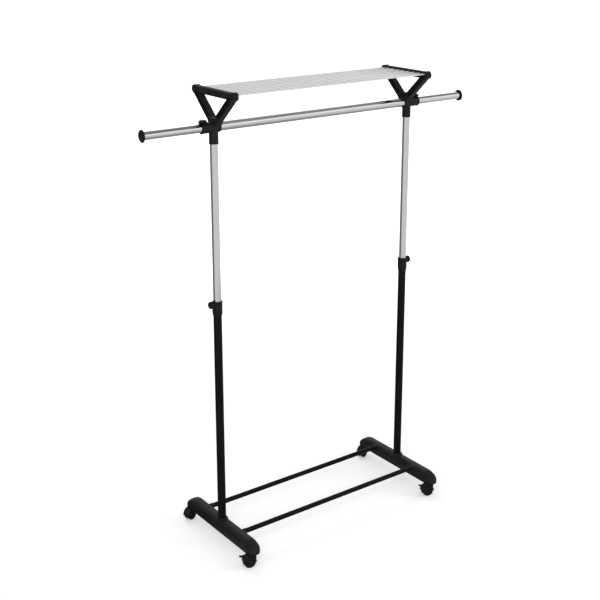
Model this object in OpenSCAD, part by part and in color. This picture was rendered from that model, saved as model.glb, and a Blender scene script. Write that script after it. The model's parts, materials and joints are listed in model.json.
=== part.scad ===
// Rolling clothes rack with a rod shelf on top.
// Frame: X runs along the hanging bar, -Y is the front with the braked casters, Z is up.
// The origin is on the floor, midway between the two posts. All sizes are in millimetres.

/* [Overall] */
// Distance between the axes of the two posts
post_spacing = 914; // [700:2:1100]
// Height of the hanging bar's axis above the floor
bar_height = 1658; // [1560:2:1700]
// Height of the shelf's rods above the hanging bar's axis
shelf_rise = 126; // [110:1:140]
// How far each end of the extended bar stands out from its post
bar_reach = 285; // [240:1:300]

/* [Posts] */
// Outside diameter of a black lower post
lower_post_d = 32; // [28:0.5:34]
// Wall thickness of a lower post
lower_post_wall = 0.8; // [0.6:0.1:1.2]
// Wall thickness of a chrome upper post
upper_post_wall = 1; // [0.8:0.1:1.5]
// Height of the top of the clamp collars
collar_top = 1005; // [900:1:1040]
// Height of the lower end of an upper post
upper_post_low = 580; // [575:1:700]

/* [Hanging bar] */
// Outside diameter of the middle tube
bar_d = 33.4; // [31:0.2:35]
// Wall thickness of the bar's tubes
bar_wall = 1.2; // [0.8:0.1:1.4]
// Diameter of the flange on each end cap
end_cap_d = 46; // [38:1:52]

/* [Foot] */
// Length of a foot from front to back
foot_length = 484; // [476:2:600]
// Width of a foot
foot_width = 54; // [50:1:60]
// Clear height between the hoods of the casters and a foot's lower edge
foot_gap = 4.3; // [4.3:0.1:8]
// Height of a foot from its lower edge to its top
foot_height = 44.5; // [43:0.5:52]
// Wall thickness of a foot's moulding
foot_wall = 2.6; // [2:0.1:3]
// Distance between the axes of the front and rear casters
caster_spacing = 446; // [430:2:452]
// Distance between the axes of the two bottom bars
bottom_bar_spacing = 239; // [180:1:270]
// Outside diameter of a bottom bar
bottom_bar_d = 19.5; // [16:0.5:20]
// Height of a bottom bar's axis above a foot's lower edge
bottom_bar_rise = 33.5; // [31:0.5:34]

/* [Casters] */
// Wheel diameter
wheel_d = 46; // [42:1:48]
// Distance from the swivel axis back to the wheel's axle
caster_trail = 19; // [16:0.5:22]
// Width of one wheel
wheel_w = 10.6; // [9:0.2:13]

/* [Shelf] */
// Number of rods in the shelf
rod_count = 9; // [5:1:11]
// Diameter of a shelf rod
rod_d = 6; // [4:0.5:8]
// Distance from the middle of the shelf to the axis of its outermost rod
rod_span = 119; // [112:1:124]

/* [Hidden] */
$fn = 64;

// Clearances, all on the radius unless they say otherwise
running = 0.05;         // between a shaft and the hole it turns or slides in
seat = 0.05;            // between two pieces that are fixed together
apart = 0.3;            // between pieces that pass each other without touching
eps = 1;                // how far a cut runs past the face it opens

// Places worked out from the overall sizes
post_x = post_spacing/2;
caster_y = caster_spacing/2;
bottom_bar_y = bottom_bar_spacing/2;
shelf_z = bar_height + shelf_rise;
wheel_r = wheel_d/2;
hood_gap = 1.2;         // between a wheel's tread and the inside of its hood
hood_t = 2;
hood_r = wheel_r + hood_gap + hood_t;
foot_low = wheel_r + hood_r + foot_gap;
foot_high = foot_low + foot_height;
bottom_bar_height = foot_low + bottom_bar_rise;

// Post tubes: the upper post slides in the lower one on a bush at its lower end
lower_post_id = lower_post_d - 2*lower_post_wall;
upper_post_d = lower_post_id - 2*apart;
upper_post_id = upper_post_d - 2*upper_post_wall;
bush_d = lower_post_id - 2*running;
bush_length = 26;

// Hanging bar: each extension slides in the middle tube on a plug and through a bush
bar_id = bar_d - 2*bar_wall;
bush_wall = 0.7;
extension_d = bar_id - 2*bush_wall - 2*running;
extension_id = extension_d - 2;
bar_end = 22;           // how far the middle tube runs past the post's axis
bush_flange = 2;
bar_bush_length = 20;
extension_overlap = 63; // length of the rod that stays inside the post's axis
plug_length = 22;
plug_head = 6;

// Clamp collar and its knob
collar_length = 57;
collar_d = lower_post_d + 8;
collar_lip = 4;         // lip over the end of the liner
collar_taper = 8;
liner_length = 14;
lower_post_top = collar_top - collar_lip - liner_length;
knob_z = collar_top - collar_lip - liner_length/2 - 1;
stud_d = 7.8;
knob_d = 28;
knob_length = 10;
knob_boss_d = 20;
knob_boss_reach = collar_d/2 + 4;
knob_flutes = 8;
flute_d = 5;

// Top connector: sleeves for the post and the bar, and the hub under the shelf bracket
sleeve_d = upper_post_d + 4.6;
sleeve_floor = bar_d/2 + 3.3; // from the bar's axis down to the end of the post
sleeve_drop = sleeve_floor + 40; // from the bar's axis down to the end of the post's sleeve
bar_sleeve_d = bar_d + 5.6;
bar_sleeve_in = 22;
bar_sleeve_out = 53;
hub_high = bar_sleeve_d/2 + 6.5; // from the bar's axis up to the bracket's seat
hub_half_x = 13;
hub_x = -8.5;           // from the post's axis to the middle of the hub and its bracket
tenon = [12, 28, 14];
bracket_screw_y = 8;
lock_x = 44;            // from the post's axis out to the lock knob's axis
lock_stud_d = 5.8;
lock_knob_low = bar_sleeve_d/2 + 0.7; // from the bar's axis up to the lock knob
lock_knob_length = 8.5;
lock_knob_d = 34;
lock_knob_top_d = 24;

// Shelf bracket: a triangle of two sloping arms and a rail
arm_width = 25;
arm_cross = 7;         // from the bar's axis up to where the arms' centre lines cross
bracket_x = 11;         // half of the bracket's thickness
rail_low = shelf_z - 18;
rail_high = shelf_z + 9.5;
rail_mid = (rail_low + rail_high)/2;
rail_round = 7;
corner_r = (rail_high - rail_low)/2 + 1.75;
corner_y = rod_span + 3.5;
arm_flange = 3.2;
arm_pocket = 7;
arm_rib = 2.2;
arm_bays = 5;
rod_socket = 10;
rod_pitch = 2*rod_span/(rod_count - 1);

// Foot
foot_top_round = 20;
foot_corner_round = 26.5;
foot_end_round = 60;
floor_of_socket = foot_low + 14.5;
plate_z = foot_low + 8.5;
plate_t = 2;
plate_half = [19, 192];
post_socket_d = lower_post_d + 7;
post_socket_rim = 6;    // how far the socket stands above the foot's top
bar_socket_d = bottom_bar_d + 5;
bar_socket_in = 32;     // from the post's axis in to the mouth of a bar's socket
bar_socket_out = 8;
bottom_bar_end = 6;
bar_plug_length = 30;
bar_screw_x = -8;
pillar_d = 12;
foot_screw_y = plate_half[1] - 12;
foot_screw_depth = 30.5; // from the foot's lower edge to the end of the screw's hole
rib_t = 2;
rib_ys = [35, 80, 160];
caster_boss_d = 20;
caster_boss_low = foot_low + 2.5;
socket_flange_t = 1.5;
socket_flange_d = 18;
socket_d = 11;
socket_top = foot_low + 22.5;
bolt_d = 8;
bolt_head_t = 5.3;
bolt_head_d = 15;       // across the corners of the hexagon
screw_d = 4.8;

// Caster
wheel_gap = 4.6;        // from the caster's middle to a wheel's inner face
hood_half_y = wheel_gap + wheel_w + 0.8;
web_half_y = wheel_gap - 0.6;
axle_d = 5;
stem_d = 7.9;
stem_boss_d = 18;
stem_boss_high = foot_low - 1.5;
stem_top = socket_top - 1;
stem_collar_d = 13;
caster_yaw = 20;        // how far the casters stand turned in the parked rack, front and rear opposite ways
lever_pivot = [-caster_trail - wheel_r + 1, wheel_r + 20];
lever_barrel_r = 3.4;
lever_half_y = 6.8;
lever_pin_d = 3;
lever_reach = 18.5;
lever_tilt = 16;
lever_t = 2.6;
ear_r = 4.2;
ear_t = 2.5;

// Colours
black_plastic = [0.10, 0.10, 0.10];
black_paint = [0.07, 0.07, 0.07];
chrome = [0.82, 0.83, 0.85];
steel = [0.62, 0.63, 0.65];
pale_plastic = [0.80, 0.80, 0.77];

// A tube along Z that starts at z = 0
module tube(od, id, length) {
    difference() {
        cylinder(d = od, h = length);
        translate([0, 0, -eps]) cylinder(d = id, h = length + 2*eps);
    }
}

// Turns Z into X
module along_x() {
    rotate([0, 90, 0]) children();
}

// Turns Z into Y
module along_y() {
    rotate([-90, 0, 0]) children();
}

// Places children at one post. Their +X points outward, away from the other post.
module at_post(side) {
    if (side > 0) translate([post_x, 0, 0]) children();
    else mirror([1, 0, 0]) translate([post_x, 0, 0]) children();
}

// Rectangle [w, h] with its lower edge on the X axis and rounded upper corners
module round_topped(w, h, r) {
    translate([-w/2, 0]) square([w, h - r]);
    translate([-w/2 + r, 0]) square([w - 2*r, h]);
    for (s = [-1, 1]) translate([s*(w/2 - r), h - r]) circle(r);
}

// Rectangle [w, h] centred on the origin with rounded corners
module rounded_rect(w, h, r) {
    square([w - 2*r, h], center = true);
    square([w, h - 2*r], center = true);
    for (sx = [-1, 1], sy = [-1, 1]) translate([sx*(w/2 - r), sy*(h/2 - r)]) circle(r);
}

/* Feet */

// The outer form of a foot, or a form inset from it that is cut open below
module foot_form(inset) {
    low = inset > 0 ? foot_low - eps : foot_low;
    high = foot_high - inset;
    round_r = foot_end_round - inset;
    end_z = foot_high - foot_end_round;
    run = sqrt(pow(foot_end_round, 2) - pow(foot_low - end_z, 2));
    end_y = foot_length/2 - run;
    w = foot_width - 2*inset;
    intersection() {
        translate([-foot_width/2 - eps, 0, 0]) rotate([90, 0, 90])
            linear_extrude(foot_width + 2*eps) intersection() {
                union() {
                    translate([-end_y, low]) square([2*end_y, high - low]);
                    for (s = [-1, 1]) translate([s*end_y, end_z]) circle(round_r, $fn = 128);
                }
                translate([-foot_length, low]) square([2*foot_length, high - low]);
            }
        translate([0, 0, low - eps]) linear_extrude(high - low + 2*eps)
            rounded_rect(w, foot_length - 2*inset, foot_corner_round - inset);
        translate([0, foot_length, low]) rotate([90, 0, 0])
            linear_extrude(2*foot_length) round_topped(w, high - low, foot_top_round - inset);
    }
}

// What stands inside the hollow foot: sockets, bosses, pillars and ribs
module foot_insides() {
    translate([0, 0, plate_z + plate_t])
        cylinder(d = post_socket_d, h = foot_high - plate_z - plate_t - 1);
    for (s = [-1, 1]) {
        translate([0, s*caster_y, caster_boss_low]) cylinder(d = caster_boss_d, h = foot_high);
        translate([0, s*foot_screw_y, plate_z + plate_t]) cylinder(d = pillar_d - 2, h = foot_high);
        translate([bar_screw_x, s*bottom_bar_y, plate_z + plate_t])
            cylinder(d = pillar_d, h = bottom_bar_height - plate_z - plate_t);
        for (y = rib_ys)
            translate([-foot_width/2, s*y - rib_t/2, plate_z + plate_t])
                cube([foot_width, rib_t, foot_high]);
    }
}

module foot() {
    color(black_plastic) difference() {
        union() {
            difference() {
                foot_form(0);
                foot_form(foot_wall);
            }
            intersection() {
                foot_form(foot_wall/2);
                foot_insides();
            }
            for (s = [-1, 1])
                translate([-bar_socket_in, s*bottom_bar_y, bottom_bar_height]) along_x()
                    cylinder(d = bar_socket_d, h = bar_socket_in + bar_socket_out + foot_wall);
            translate([0, 0, foot_high - foot_wall])
                cylinder(d1 = post_socket_d + 5, d2 = post_socket_d, h = post_socket_rim + foot_wall);
        }
        translate([0, 0, floor_of_socket]) cylinder(d = lower_post_d + 2*seat, h = foot_high);
        translate([0, 0, foot_low]) cylinder(d = bolt_d + 2*seat, h = foot_high);
        for (s = [-1, 1]) {
            translate([0, s*caster_y, foot_low]) cylinder(d = socket_d + 2*seat, h = socket_top - foot_low + 1);
            translate([-bar_socket_in - eps, s*bottom_bar_y, bottom_bar_height]) along_x()
                cylinder(d = bottom_bar_d + 2*seat, h = bar_socket_in + bar_socket_out + eps);
            translate([bar_screw_x, s*bottom_bar_y, foot_low])
                cylinder(d = screw_d + 2*seat, h = bottom_bar_height - foot_low);
            translate([0, s*foot_screw_y, foot_low]) cylinder(d = screw_d - 1, h = foot_screw_depth);
        }
    }
}

module foot_plate() {
    color(steel) difference() {
        translate([0, 0, plate_z]) linear_extrude(plate_t) rounded_rect(2*plate_half[0], 2*plate_half[1], 6);
        translate([0, 0, plate_z - eps]) cylinder(d = bolt_d + 1, h = plate_t + 2*eps);
        for (s = [-1, 1]) {
            translate([bar_screw_x, s*bottom_bar_y, plate_z - eps])
                cylinder(d = screw_d + 0.6, h = plate_t + 2*eps);
            translate([0, s*foot_screw_y, plate_z - eps]) cylinder(d = screw_d - 0.4, h = plate_t + 2*eps);
        }
    }
}

// A screw that points up, with its pan head just below z = 0
module screw(d, length, head_d, head_t) {
    cylinder(d = d, h = length);
    translate([0, 0, -head_t]) cylinder(d1 = head_d - 1.5, d2 = head_d, h = head_t);
}

module foot_screws() {
    color(steel) for (side = [-1, 1]) at_post(side) for (s = [-1, 1])
        translate([0, s*foot_screw_y, plate_z]) screw(screw_d - 1.1, 20, 8, 2.4);
}

module post_bolts() {
    color(steel) for (side = [-1, 1]) at_post(side) {
        translate([0, 0, plate_z - bolt_head_t]) cylinder(d = bolt_head_d, h = bolt_head_t, $fn = 6);
        translate([0, 0, plate_z]) cylinder(d = bolt_d, h = 28);
    }
}

module post_plugs() {
    color(steel) for (side = [-1, 1]) at_post(side)
        translate([0, 0, floor_of_socket]) tube(lower_post_id - 2*seat, bolt_d + 2*seat, 24);
}

module lower_post() {
    color(black_paint) translate([0, 0, floor_of_socket])
        tube(lower_post_d, lower_post_id, lower_post_top - floor_of_socket);
}

module bottom_bar(side) {
    reach = post_x + bottom_bar_end;
    color(black_paint) difference() {
        translate([-reach, side*bottom_bar_y, bottom_bar_height]) along_x()
            tube(bottom_bar_d, bottom_bar_d - 2, 2*reach);
        for (s = [-1, 1])
            translate([s*(post_x + bar_screw_x), side*bottom_bar_y, bottom_bar_height - bottom_bar_d])
                cylinder(d = screw_d + 2*seat, h = bottom_bar_d);
    }
}

module bar_plugs() {
    color(black_plastic) for (side = [-1, 1]) at_post(side) for (s = [-1, 1])
        translate([bottom_bar_end - bar_plug_length, s*bottom_bar_y, bottom_bar_height])
            difference() {
                along_x() cylinder(d = bottom_bar_d - 2 - 2*seat, h = bar_plug_length);
                translate([bar_screw_x - bottom_bar_end + bar_plug_length, 0, -bottom_bar_d])
                    cylinder(d = screw_d, h = bottom_bar_d + 3);
            }
}

module bar_screws() {
    color(steel) for (side = [-1, 1]) at_post(side) for (s = [-1, 1])
        translate([bar_screw_x, s*bottom_bar_y, plate_z]) screw(screw_d, bottom_bar_height - plate_z + 2, 9.5, 3);
}

module caster_sockets() {
    color(steel) for (side = [-1, 1]) at_post(side) for (s = [-1, 1])
        translate([0, s*caster_y, caster_boss_low - socket_flange_t]) {
            tube(socket_d, stem_d + 2*running, socket_top - caster_boss_low + socket_flange_t);
            tube(socket_flange_d, stem_d + 2*running, socket_flange_t);
        }
}

/* Clamp collars */

module collar() {
    low = collar_top - collar_length;
    color(black_plastic) difference() {
        union() {
            translate([0, 0, low])
                cylinder(d1 = lower_post_d + 3, d2 = collar_d, h = collar_taper);
            translate([0, 0, low + collar_taper])
                cylinder(d = collar_d, h = collar_length - collar_taper - 2);
            translate([0, 0, collar_top - 2]) cylinder(d1 = collar_d, d2 = collar_d - 4, h = 2);
            translate([0, 0, knob_z]) along_x() cylinder(d = knob_boss_d, h = knob_boss_reach);
        }
        translate([0, 0, low - eps])
            cylinder(d = lower_post_d + 2*seat, h = collar_length - collar_lip + eps);
        translate([0, 0, low]) cylinder(d = upper_post_d + 2*apart, h = collar_length + eps);
        translate([0, 0, knob_z]) along_x() cylinder(d = stud_d + 2*running, h = collar_d);
    }
}

module collar_liners() {
    color(pale_plastic) for (side = [-1, 1]) at_post(side) difference() {
        translate([0, 0, lower_post_top]) tube(lower_post_d, upper_post_d + 2*running, liner_length);
        translate([0, 0, knob_z]) along_x() cylinder(d = stud_d + 2*running, h = collar_d);
    }
}

module height_knob() {
    color(black_plastic) translate([knob_boss_reach + apart, 0, knob_z]) along_x() difference() {
        union() {
            cylinder(d = knob_d, h = knob_length - 2);
            translate([0, 0, knob_length - 2]) cylinder(d1 = knob_d, d2 = knob_d - 5, h = 2);
        }
        for (k = [0:knob_flutes - 1]) rotate(k*360/knob_flutes)
            translate([knob_d/2 + 0.8, 0, 2]) cylinder(d = flute_d, h = knob_length);
        translate([0, 0, -eps]) cylinder(d = stud_d, h = knob_length - 4 + eps);
    }
}

module height_stud() {
    tip = upper_post_d/2 + apart;
    head = knob_boss_reach + apart + knob_length - 4;
    color(steel) translate([tip, 0, knob_z]) along_x() {
        cylinder(d1 = stud_d - 2, d2 = stud_d, h = 1);
        translate([0, 0, 1]) cylinder(d = stud_d, h = head - tip - 1);
    }
}

/* Upper frame */

module upper_post() {
    color(chrome) translate([0, 0, upper_post_low])
        tube(upper_post_d, upper_post_id, bar_height - sleeve_floor - upper_post_low);
}

// The flanged bush that guides the lower end of an upper post
module guide_bushes() {
    head = 8;
    color(pale_plastic) for (side = [-1, 1]) at_post(side) translate([0, 0, upper_post_low - head]) {
        tube(bush_d, upper_post_id - 5, head);
        translate([0, 0, head]) tube(upper_post_id - 2*seat, upper_post_id - 5, bush_length - head);
    }
}

module bar_connector() {
    hub = [[-20, 4], [20, 4], [hub_high + 8, hub_high], [-hub_high - 8, hub_high]];
    color(black_plastic) translate([0, 0, bar_height]) difference() {
        union() {
            translate([0, 0, -sleeve_drop]) cylinder(d = sleeve_d, h = sleeve_drop);
            translate([-bar_sleeve_in, 0, 0]) along_x()
                cylinder(d = bar_sleeve_d, h = bar_sleeve_in + bar_sleeve_out);
            translate([lock_x, 0, 0]) cylinder(d = 14, h = lock_knob_low - apart);
            translate([hub_x - hub_half_x, 0, 0]) rotate([90, 0, 90])
                linear_extrude(2*hub_half_x) polygon(hub);
            translate([hub_x - tenon[0]/2, -tenon[1]/2, hub_high - eps]) cube(tenon + [0, 0, eps]);
        }
        translate([0, 0, -sleeve_drop - eps])
            cylinder(d = upper_post_d + 2*seat, h = sleeve_drop - sleeve_floor + eps);
        translate([-bar_sleeve_in - eps, 0, 0]) along_x()
            cylinder(d = bar_d + 2*seat, h = bar_sleeve_in + bar_end + bush_flange + eps);
        along_x() cylinder(d = extension_d + 2*apart, h = bar_sleeve_out + eps);
        translate([lock_x, 0, 0]) cylinder(d = lock_stud_d + 2*running, h = bar_sleeve_d);
        for (s = [-1, 1])
            translate([hub_x - tenon[0], s*bracket_screw_y, hub_high + tenon[2]/2]) along_x()
                cylinder(d = screw_d, h = 2*tenon[0]);
    }
}

// Centre line of an arm: from above the bar's axis straight up to the middle of the rail's end
arm_rise = rail_mid - bar_height - arm_cross;
arm_angle = atan2(arm_rise, corner_y);
arm_length = norm([corner_y, arm_rise]);

// Puts children on an arm: X runs up the arm, the arm's centre line is y = 0
module on_arm(side) {
    translate([0, bar_height + arm_cross]) rotate(side > 0 ? arm_angle : 180 - arm_angle) children();
}

module bracket_outline() {
    difference() {
        for (side = [-1, 1]) on_arm(side)
            translate([0, -arm_width/2]) square([arm_length + arm_width/2, arm_width]);
        translate([-200, bar_height - 100]) square([400, 100 + hub_high]);
        translate([-200, rail_mid]) square([400, 100]);
    }
    for (s = [-1, 1]) translate([s*corner_y, rail_mid]) circle(corner_r);
}

// The hollow between an arm's two flanges, with its zigzag of ribs left out
module arm_pocket_shape(side) {
    start = arm_width + 16;
    bay = (arm_length - start - 10)/arm_bays;
    half = arm_width/2 - arm_flange;
    on_arm(side) difference() {
        translate([start, -half]) square([arm_bays*bay, 2*half]);
        for (k = [0:arm_bays - 1]) {
            lean = atan2(2*half, bay);
            flip = k % 2 == 0 ? 1 : -1;
            translate([start + (k + 0.5)*bay, 0]) rotate(flip*lean)
                square([2*arm_width, arm_rib], center = true);
        }
    }
}

module shelf_bracket() {
    color(black_plastic) difference() {
        union() {
            translate([-bracket_x, 0, 0]) rotate([90, 0, 90]) linear_extrude(2*bracket_x) bracket_outline();
            translate([0, corner_y, rail_mid]) rotate([90, 0, 0]) linear_extrude(2*corner_y)
                rounded_rect(2*bracket_x, rail_high - rail_low, rail_round);
        }
        for (side = [-1, 1], face = [-1, 1])
            translate([face > 0 ? bracket_x - arm_pocket : -bracket_x - eps, 0, 0]) rotate([90, 0, 90])
                linear_extrude(arm_pocket + eps) arm_pocket_shape(side);
        for (k = [0:rod_count - 1])
            translate([-bracket_x - eps, k*rod_pitch - rod_span, shelf_z]) along_x()
                cylinder(d = rod_d + 2*seat, h = rod_socket + eps);
        translate([-tenon[0]/2 - seat, -tenon[1]/2 - seat, bar_height + hub_high - eps])
            cube(tenon + [2*seat, 2*seat, eps + 0.2]);
        for (s = [-1, 1]) translate([0, s*bracket_screw_y, bar_height + hub_high + tenon[2]/2]) along_x() {
            cylinder(d = screw_d + 2*seat, h = bracket_x + eps);
            translate([0, 0, bracket_x - 3]) cylinder(d = 9, h = 3 + eps);
        }
    }
}

module bracket_screws() {
    color(steel) for (side = [-1, 1]) at_post(side) for (s = [-1, 1])
        translate([hub_x + bracket_x - 3, s*bracket_screw_y, bar_height + hub_high + tenon[2]/2])
            rotate([0, -90, 0]) screw(screw_d, 12, 8.6, 2.6);
}

module hanging_bar() {
    reach = post_x + bar_end;
    color(chrome) translate([-reach, 0, bar_height]) along_x() tube(bar_d, bar_id, 2*reach);
}

module bar_bushes() {
    bore = extension_d + 2*running;
    color(pale_plastic) for (side = [-1, 1]) at_post(side)
        translate([bar_end - bar_bush_length, 0, bar_height]) along_x() {
            tube(bar_id, bore, bar_bush_length);
            translate([0, 0, bar_bush_length]) tube(bar_d, bore, bush_flange);
        }
}

module shelf_rods() {
    reach = post_x + hub_x - bracket_x + rod_socket - 0.2;
    color(chrome) for (k = [0:rod_count - 1])
        translate([-reach, k*rod_pitch - rod_span, shelf_z]) along_x() cylinder(d = rod_d, h = 2*reach);
}

module lock_knob() {
    color(black_plastic) translate([lock_x, 0, bar_height + lock_knob_low]) difference() {
        cylinder(d1 = lock_knob_d, d2 = lock_knob_top_d, h = lock_knob_length);
        for (k = [0:knob_flutes - 1]) rotate(k*360/knob_flutes)
            translate([lock_knob_d/2 + 0.6, 0, 1.5]) cylinder(d = flute_d, h = lock_knob_length);
        translate([0, 0, -eps]) cylinder(d = lock_stud_d, h = lock_knob_length - 3 + eps);
    }
}

module lock_stud() {
    tip = extension_d/2 + apart;
    color(steel) translate([lock_x, 0, bar_height + tip])
        cylinder(d = lock_stud_d, h = lock_knob_low + lock_knob_length - 3 - tip);
}

/* Bar extensions */

module extension_rod() {
    color(chrome) translate([-extension_overlap, 0, bar_height]) along_x()
        tube(extension_d, extension_id, bar_reach + extension_overlap);
}

module extension_plug() {
    color(pale_plastic) translate([-extension_overlap - plug_head, 0, bar_height]) along_x() {
        tube(bar_id - 2*running, extension_id - 6, plug_head);
        translate([0, 0, plug_head]) tube(extension_id - 2*seat, extension_id - 6, plug_length - plug_head);
    }
}

module end_cap() {
    rim = 4;
    color(black_plastic) translate([bar_reach, 0, bar_height]) along_x() {
        translate([0, 0, -18]) tube(extension_id - 2*seat, extension_id - 6, 18);
        cylinder(d = end_cap_d, h = rim);
        translate([0, 0, rim]) cylinder(d1 = end_cap_d, d2 = end_cap_d - 14, h = 3);
    }
}

/* Casters: each is drawn round its own swivel axis, with its wheels behind it towards -X */

module at_caster(x_side, y_side) {
    translate([x_side*post_x, y_side*caster_y, 0]) rotate(y_side*caster_yaw) children();
}

module caster_hood(braked) {
    axle_low = wheel_r - 11;
    color(black_plastic) difference() {
        union() {
            intersection() {
                translate([-caster_trail, -hood_half_y, wheel_r]) along_y() cylinder(r = hood_r, h = 2*hood_half_y);
                union() {
                    translate([-100, -hood_half_y, wheel_r]) cube([200, 2*hood_half_y, 100]);
                    translate([-100, -web_half_y, axle_low]) cube([200, 2*web_half_y, 100]);
                }
            }
            translate([0, 0, wheel_r]) cylinder(d = stem_boss_d, h = stem_boss_high - wheel_r);
            if (braked) for (s = [-1, 1])
                translate([lever_pivot[0], s*(lever_half_y + apart + ear_t/2) - ear_t/2, lever_pivot[1]]) {
                    along_y() cylinder(r = ear_r, h = ear_t);
                    rotate([0, 45, 0]) translate([0, 0, -ear_r + 0.8]) cube([ear_r + 4, ear_t, 2*ear_r - 1.6]);
                }
        }
        for (s = [-1, 1])
            translate([-caster_trail, s > 0 ? web_half_y : -hood_half_y - eps, wheel_r]) along_y()
                cylinder(r = hood_r - hood_t, h = hood_half_y + eps - web_half_y);
        translate([-caster_trail, -hood_half_y, wheel_r]) along_y()
            cylinder(d = axle_d + 2*seat, h = 2*hood_half_y);
        translate([0, 0, wheel_r - 2]) cylinder(d = stem_d + 2*seat, h = 100);
        if (braked) translate([lever_pivot[0], -20, lever_pivot[1]]) along_y()
            cylinder(d = lever_pin_d + 2*running, h = 40);
        if (braked) translate([lever_pivot[0], -lever_half_y - apart, lever_pivot[1]]) along_y()
            cylinder(r = lever_barrel_r + apart, h = 2*(lever_half_y + apart));
    }
}

module caster_stem() {
    color(steel) {
        translate([0, 0, wheel_r - 2]) cylinder(d = stem_d, h = stem_top - wheel_r + 2);
        translate([0, 0, stem_boss_high]) cylinder(d = stem_collar_d, h = 2.3);
    }
}

module caster_axle() {
    half = wheel_gap + wheel_w - 1;
    color(steel) translate([-caster_trail, -half, wheel_r]) along_y() cylinder(d = axle_d, h = 2*half);
}

// Half of a wheel's section, turned about Y: a crowned tread and a dished outer face
module wheel_section() {
    difference() {
        union() {
            translate([axle_d/2 + running, 0]) square([wheel_r - 2 - axle_d/2 - running, wheel_w]);
            translate([wheel_r - 4, 2]) square([4, wheel_w - 4]);
            for (y = [2, wheel_w - 2]) translate([wheel_r - 2, y]) circle(2);
        }
        translate([7, wheel_w - 2.4]) square([10, 10]);
    }
}

module wheels() {
    color(black_plastic) translate([-caster_trail, 0, wheel_r]) for (s = [-1, 1])
        rotate([s > 0 ? -90 : 90, 0, 0]) translate([0, 0, wheel_gap])
            rotate_extrude() wheel_section();
}

module brake_lever() {
    color(black_plastic) translate([lever_pivot[0], 0, lever_pivot[1]]) {
        translate([0, -lever_half_y, 0]) along_y() cylinder(r = lever_barrel_r, h = 2*lever_half_y);
        translate([0, -lever_half_y - apart - ear_t, 0]) along_y()
            cylinder(d = lever_pin_d, h = 2*(lever_half_y + apart + ear_t));
        rotate([0, lever_tilt, 0]) intersection() {
            translate([-lever_reach, -lever_half_y + 0.6, 0.2]) cube([lever_reach, 2*lever_half_y - 1.2, lever_t]);
            translate([-lever_reach + 11, 0, 0]) cylinder(r = 11, h = 2*lever_t);
        }
    }
}

at_post(-1) foot();  // foot_left
at_post(1) foot();  // foot_right
at_post(-1) foot_plate();  // foot_plate_left
at_post(1) foot_plate();  // foot_plate_right
foot_screws();
post_bolts();
post_plugs();
at_post(-1) lower_post();  // lower_post_left
at_post(1) lower_post();  // lower_post_right
bottom_bar(-1);  // bottom_bar_front
bottom_bar(1);  // bottom_bar_rear
bar_plugs();
bar_screws();
caster_sockets();
at_post(-1) collar();  // collar_left
at_post(1) collar();  // collar_right
collar_liners();
at_post(-1) height_knob();  // height_knob_left
at_post(1) height_knob();  // height_knob_right
at_post(-1) height_stud();  // height_stud_left
at_post(1) height_stud();  // height_stud_right
at_post(-1) upper_post();  // upper_post_left
at_post(1) upper_post();  // upper_post_right
guide_bushes();
at_post(-1) bar_connector();  // bar_connector_left
at_post(1) bar_connector();  // bar_connector_right
at_post(-1) translate([hub_x, 0, 0]) shelf_bracket();  // shelf_bracket_left
at_post(1) translate([hub_x, 0, 0]) shelf_bracket();  // shelf_bracket_right
bracket_screws();
hanging_bar();
bar_bushes();
shelf_rods();
at_post(-1) lock_knob();  // lock_knob_left
at_post(1) lock_knob();  // lock_knob_right
at_post(-1) lock_stud();  // lock_stud_left
at_post(1) lock_stud();  // lock_stud_right
at_post(-1) extension_rod();  // extension_rod_left
at_post(1) extension_rod();  // extension_rod_right
at_post(-1) extension_plug();  // extension_plug_left
at_post(1) extension_plug();  // extension_plug_right
at_post(-1) end_cap();  // end_cap_left
at_post(1) end_cap();  // end_cap_right
at_caster(-1, -1) caster_hood(true);  // caster_hood_front_left
at_caster(1, -1) caster_hood(true);  // caster_hood_front_right
at_caster(-1, 1) caster_hood(false);  // caster_hood_rear_left
at_caster(1, 1) caster_hood(false);  // caster_hood_rear_right
at_caster(-1, -1) caster_stem();  // caster_stem_front_left
at_caster(1, -1) caster_stem();  // caster_stem_front_right
at_caster(-1, 1) caster_stem();  // caster_stem_rear_left
at_caster(1, 1) caster_stem();  // caster_stem_rear_right
at_caster(-1, -1) caster_axle();  // caster_axle_front_left
at_caster(1, -1) caster_axle();  // caster_axle_front_right
at_caster(-1, 1) caster_axle();  // caster_axle_rear_left
at_caster(1, 1) caster_axle();  // caster_axle_rear_right
at_caster(-1, -1) wheels();  // wheels_front_left
at_caster(1, -1) wheels();  // wheels_front_right
at_caster(-1, 1) wheels();  // wheels_rear_left
at_caster(1, 1) wheels();  // wheels_rear_right
at_caster(-1, -1) brake_lever();  // brake_lever_front_left
at_caster(1, -1) brake_lever();  // brake_lever_front_right
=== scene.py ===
import json
import math

import bmesh
import bpy
from mathutils import Matrix, Vector


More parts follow.
